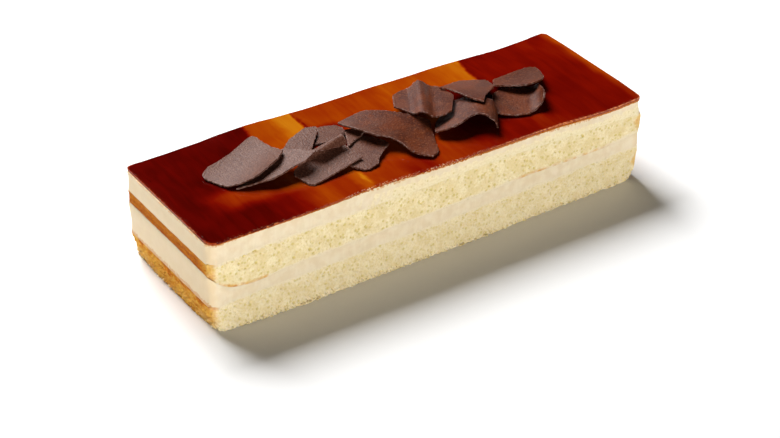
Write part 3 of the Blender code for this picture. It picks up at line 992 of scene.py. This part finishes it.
# %% Brush strokes
STROKES = [  # left, left edge's softness, right, right edge's softness, front, back, thinness
    (-71, 1.5, -39.5, 0.9, 2, 60, 0.60),  # the broad orange stroke behind
    (-52, 5.0, -40.0, 0.9, 2, 60, 0.30),
    (-76, 12.0, -39.5, 1.5, -60, 2, 0.42),  # and its thicker start in front
    (-47, 3.5, -40.5, 1.2, -60, 2, 0.20),
    (-39, 1.5, 26, 12.0, 0, 60, 0.52),  # the middle
    (-39, 1.5, 30, 14.0, -60, 0, 0.50),
    (-16, 7.0, 6, 7.0, -60, -32, -0.20),
    (24, 14.0, 77, 1.4, -8, 60, 0.60),  # the golden stroke behind on the right
    (58, 12.0, 76, 1.4, 6, 60, 0.16),
    (-122, 12.0, -70, 10.0, -24, -5, 0.42),  # thin patches in front on the left
    (-96, 12.0, -62, 10.0, -60, -22, 0.18),
    (30, 14.0, 84, 14.0, -60, -26, 0.20),  # and on the right
    (78, 6.0, 150, 6.0, -60, 60, 0.20),
    (-48, 4.0, -22, 4.0, -4, 24, -0.60),  # painted shade: the glaze made darkest in the gaps between the shards
    (46, 4.0, 66, 4.0, -8, 22, -0.70),
    (64, 4.0, 92, 5.0, -8, 10, -0.70),
]
STROKE_ENDS = 6  # softness of a stroke's front and back
STROKE_LEAN = 0.25  # how far an edge leans along the bar for each mm across it,
LEAN_FROM = 30  # from here on
RUN_OFF = 0.42  # how much thinner it is where it ran off the right end
RUN_OFF_FROM = (140, 147)


def thinness(points):
    """How thin the caramel is, from 0 for the thickest to 1, with painted shade in the gaps between
    shards.
    """
    x, y = points[:, 0] / MM, points[:, 1] / MM
    jag = grain(points, 3 * MM, 3, 33.0) * 0.8
    drift = grain(points, 16 * MM, 2, 34.0) * 2.5
    along = x - STROKE_LEAN * np.maximum(y - LEAN_FROM, 0) * (x > 0)
    thin = 0.06 + 0.06 * grain(points, 20 * MM, 2, 35.0)
    for left, left_soft, right, right_soft, front, back, amount in STROKES:
        inside_left = fade(along + drift + jag, left - left_soft, left + left_soft)
        inside_right = 1 - fade(along + jag, right - right_soft, right + right_soft)
        inside_front = fade(y + drift, front - STROKE_ENDS, front + STROKE_ENDS)
        inside_back = 1 - fade(y, back - STROKE_ENDS, back + STROKE_ENDS)
        thin += amount * inside_left * inside_right * inside_front * inside_back
    run_off = fade(x + 0.5 * drift, *RUN_OFF_FROM)
    return thin + RUN_OFF * run_off * (1 - 0.4 * fade(np.abs(y - 10), 20, 45))


# %% [markdown]
# Only the glaze's top and rim show. The top is cut to about a millimetre and levelled, so that
# reflections run over it without facets. The rim is cut finer, because its lower edge is ragged
# where the knife went through. The solid has a wide bevel there, but the real sheet turns
# down tightly, so the bevel's points are raised onto a tight curve.

# %% Edge of the glaze
FRONT_EDGE = -43  # what lies beyond this across the bar, in mm, is the front edge,
LEFT_EDGE = -142  # and beyond this along it the left one
TORN = ((-64, -52), (24, 36))  # where the front edge starts and stops being torn
HIGHLIGHT_DASHES = (-134, -58)  # where the painted highlight line is broken into dashes
LINE_FROM = (24, 40)  # and where it runs on


def torn_part(points):
    """Where the knife tore the front edge, from 0 to 1."""
    x = points[:, 0] / MM
    return fade(x, *TORN[0]) * (1 - fade(x, *TORN[1]))


def edge_marks(points):
    """How strong the edge's four marks are, from 0 to 1. The first is a painted highlight."""
    x, y = points[:, 0] / MM, points[:, 1] / MM
    front = y < FRONT_EDGE
    left_end = x < LEFT_EDGE
    patchy = grain(points, 4 * MM, 3, 36.0)
    highlight_dashes = fade(patchy, 0.1, 0.3) * 0.7 * ((x > HIGHLIGHT_DASHES[0]) & (x < HIGHLIGHT_DASHES[1]))
    line = np.where(front, fade(x, *LINE_FROM) * (0.75 + 0.4 * patchy) + highlight_dashes, 0)
    front_crumbs = torn_part(points) * (0.6 + patchy) + 0.12
    crumbs = np.clip(np.where(front, front_crumbs, left_end * (0.15 + 0.3 * patchy)), 0, 1)
    worn = np.where(left_end, np.clip(0.8 + 0.6 * patchy, 0, 1), crumbs)
    foot = np.where(front, 1.0, 0.55)
    return {"painted_highlight": np.clip(line, 0, 1), "crumbs": crumbs, "foot": foot, "worn": worn}


# %% Glaze piece
TOP_STEP = 1.3 * MM
RIM_STEP = 0.5 * MM
RIM_BAND = 3 * MM
RIM_TURN = 0.25 * MM  # radius of the curve from the top down to the rim
RIM_KEPT = 0.6 * MM  # a strip that the averaging of the top leaves alone
BEVEL = 2.1 * MM  # width of the solid's bevel
BEVEL_SHARES = [0.5, 0.85, 1.0]  # at these shares of the glaze's thickness
BEVEL_INWARD = [0.0, 0.75, 1.85]  # it is this far in from the rim, in mm
RAGGED_SIZE = 1.8 * MM
RAGGED_MOST = 0.35 * MM  # how far up the ragged edge reaches
GLAZE_WAVE = (0.05 * MM, 18 * MM)


def near_rim(centres, normals):
    """The band just inside the outline, and the rim itself."""
    inside = np.minimum(HALF_LENGTH - np.abs(centres[:, 0]), HALF_WIDTH - np.abs(centres[:, 1]))
    return (normals[:, 2] > -STEEP) & (inside < RIM_BAND)


def tighten_rim(points, under, edge):
    """Turns the solid's wide bevel into a flat top with a tight curve down to the rim."""
    plan = points * (1, 1, 0)
    to_edge, from_rim = nearest(plan, plan[edge])
    low = points[edge[to_edge], 2]
    rim = ~under & (from_rim < BEVEL)
    top = ~under & ~rim
    above, _ = nearest(plan[rim], plan[top])
    thickness = points[top][above, 2] - low[rim]
    share = (points[rim, 2] - low[rim]) / thickness
    inward = np.interp(share, BEVEL_SHARES, BEVEL_INWARD) * MM
    turn = np.clip(1 - inward / RIM_TURN, 0, 1)
    tight = np.where(share > BEVEL_SHARES[0], 0.5 + 0.5 * np.sqrt(1 - turn**2), share)
    points[rim, 2] = low[rim] + thickness * tight
    rise = np.where(under, 0.0, 1.0 + np.maximum(from_rim - RIM_TURN, 0) / MM)
    rise[rim] += tight - 1
    return from_rim, rise


def make_glaze():
    piece = copy_of("caramel_glaze", "caramel_glaze_poured")
    halve_edges(piece, TOP_STEP, lambda centres, normals: normals[:, 2] > -STEEP)
    halve_edges(piece, RIM_STEP, near_rim)
    _, normals, corners, corner_edges, corner_faces = faces_of(piece)
    points = points_of(piece)
    below = (normals[:, 2] < -STEEP)[corner_faces]
    under = mask(len(points), corners[below])
    ends = edges_of(piece)
    lower_edge = ends[np.intersect1d(corner_edges[below], corner_edges[~below])]
    relax(points, lower_edge, under, WALL_ROUNDS)
    shown = ends[np.unique(corner_edges[~below])]
    from_rim, rise = tighten_rim(points, under, np.unique(lower_edge))
    points[:, :2] = relax(points.copy(), shown, ~under, OUTLINE_ROUNDS)[:, :2]
    relax(points, shown, ~under & (from_rim > RIM_KEPT), FACE_ROUNDS)
    ragged = grain(points, RAGGED_SIZE, 3, 32.0) * (0.25 + 0.6 * torn_part(points)) * MM
    low = (1 - fade(rise, 0.1, 0.9)) * (1 - fade(from_rim, MM, RIM_BAND))
    points[:, 2] += np.minimum(ragged, RAGGED_MOST) * low
    points[:, 2] += rough(points, GLAZE_WAVE, 2, 31.0) * ~under
    points[:, 2] -= SEAM_OVERLAP * under
    set_points(piece, points)
    keep(piece, thin=thinness(points), rise=rise, **edge_marks(points))
    piece.data.materials.append(caramel)
    shade(piece)
    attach(piece, "root")
    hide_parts("caramel_glaze")
    print(piece.name, len(piece.data.polygons), "faces")


make_glaze()

# %% [markdown]
# ## The chocolate shards
# Each shard was scraped off a block, so it is a thin sheet that curls one way, with a dull grain
# and crumbling edges. The copy of its solid is cut fine, and its faces are averaged so that the curl
# runs smoothly. The outline is averaged only along itself, and its sharp tips are held. A little
# grain is then pushed into faces and edges alike. The finish runs from grey-brown on the left, part
# bloom and part painted sheen, to red-brown on the right, with specks, scraped streaks and pale
# chips on the edges, which are also lightened as a painted highlight.

# %% Chocolate finish
COCOA_RED = tone(72, 28, 11)
COCOA_WARM = tone(102, 45, 16)
COCOA_SPECK = tone(140, 80, 48)
# The grey is partly bloom and partly painted sheen.
COCOA_BLOOM_SHEEN = tone(94, 55, 40)
COCOA_DARK = tone(40, 18, 11)
COCOA_EDGE = tone(130, 93, 76)
COCOA_CHIP_GLINT = tone(160, 132, 122)


def chocolate_finish():
    f = Finish("chocolate", Roughness=0.42, Specular_IOR_Level=0.15)
    blotch = f.span(f.grain(9, 3), 0.35, 0.65, -0.2, 0.2)
    # Grey towards the left: partly bloom, partly painted sheen where the light falls on the left
    # shards.
    bloom_and_sheen = f.plus(f.span(f.along_bar(), -55 * MM, 10 * MM, 0.95, 0.1), blotch)
    colour = f.mix(bloom_and_sheen, COCOA_RED, COCOA_BLOOM_SHEEN)
    warm = f.times(f.span(f.grain(14, 2), 0.42, 0.58), f.span(bloom_and_sheen, 0.7, 0.1))
    colour = f.mix(f.times(warm, 0.7), colour, COCOA_WARM)
    speck = f.grain(0.9, 3)
    scraped = f.grain(0.7, 2, stretch=(1, 9, 9))
    dust_and_sheen = f.span(bloom_and_sheen, 0.1, 0.8, 0.08, 0.7)
    reddish = f.times(f.span(f.grain(1.2, 3, warp=0.5), 0.54, 0.68), f.span(bloom_and_sheen, 0.8, 0.2))
    colour = f.mix(f.times(reddish, 0.6), colour, COCOA_SPECK)
    colour = f.mix(f.times(f.span(speck, 0.5, 0.72), dust_and_sheen), colour, COCOA_EDGE)
    colour = f.mix(f.span(speck, 0.5, 0.28, 0.0, 0.6), colour, COCOA_DARK)
    dust_and_sheen = f.times(dust_and_sheen, 0.5)
    colour = f.mix(f.times(f.span(scraped, 0.5, 0.75), dust_and_sheen), colour, COCOA_EDGE)
    # Pale chips on the edges, which are also lightened as a painted highlight where edges catch the
    # light.
    edge = f.times(f.stored("edge"), f.span(f.grain(1.8, 3), 0.45, 0.62, 0.0, 0.8))
    colour = f.mix(edge, colour, COCOA_CHIP_GLINT)
    f.set("Base Color", colour)
    f.bump(speck, 0.35, 1.0)
    return f.done()


chocolate = chocolate_finish()

# %% Shards
SHARD_STEP = 0.75 * MM
LEAST_TURN = math.cos(math.radians(50))  # an edge where the faces turn by more is outline
SHARD_GRAIN = (0.035 * MM, 0.9 * MM)
SHARD_CHIP = 0.34 * MM
CHIP_SIZE = 1.6 * MM
CHIP_BIAS = 0.3  # chips bite in more than they stand out


def sharp_edges(piece):
    """Which edges belong to the outline."""
    _, normals, _, corner_edges, corner_faces = faces_of(piece)
    order = np.argsort(corner_edges, kind="stable")
    pairs = corner_faces[order].reshape(-1, 2)
    return (normals[pairs[:, 0]] * normals[pairs[:, 1]]).sum(axis=1) < LEAST_TURN


def make_shard(node, seed):
    piece = copy_of(node, node + "_scraped")
    halve_edges(piece, SHARD_STEP, lambda centres, normals: np.ones(len(centres), bool))
    points = points_of(piece)
    ends = edges_of(piece)
    rim = ends[sharp_edges(piece)]
    meets = np.bincount(rim.ravel(), minlength=len(points))
    relax(points, rim, meets == 2, OUTLINE_ROUNDS)
    relax(points, ends, meets == 0, FACE_ROUNDS)
    set_points(piece, points)
    outward = read(piece.data.vertices, "normal", 3)
    on_rim = meets > 0
    chip = SHARD_CHIP * (grain(points, CHIP_SIZE, 3, seed + 0.3) - CHIP_BIAS)
    push = rough(points, SHARD_GRAIN, 3, seed) + chip * on_rim
    set_points(piece, points + outward * push[:, None])
    keep(piece, edge=on_rim)
    piece.data.materials.append(chocolate)
    shade(piece)
    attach(piece, "root")
    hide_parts(node)
    print(piece.name, len(piece.data.polygons), "faces")


shard_nodes = sorted(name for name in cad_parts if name.startswith("shard_"))
for seed, node in enumerate(shard_nodes, 40):
    make_shard(node, seed)
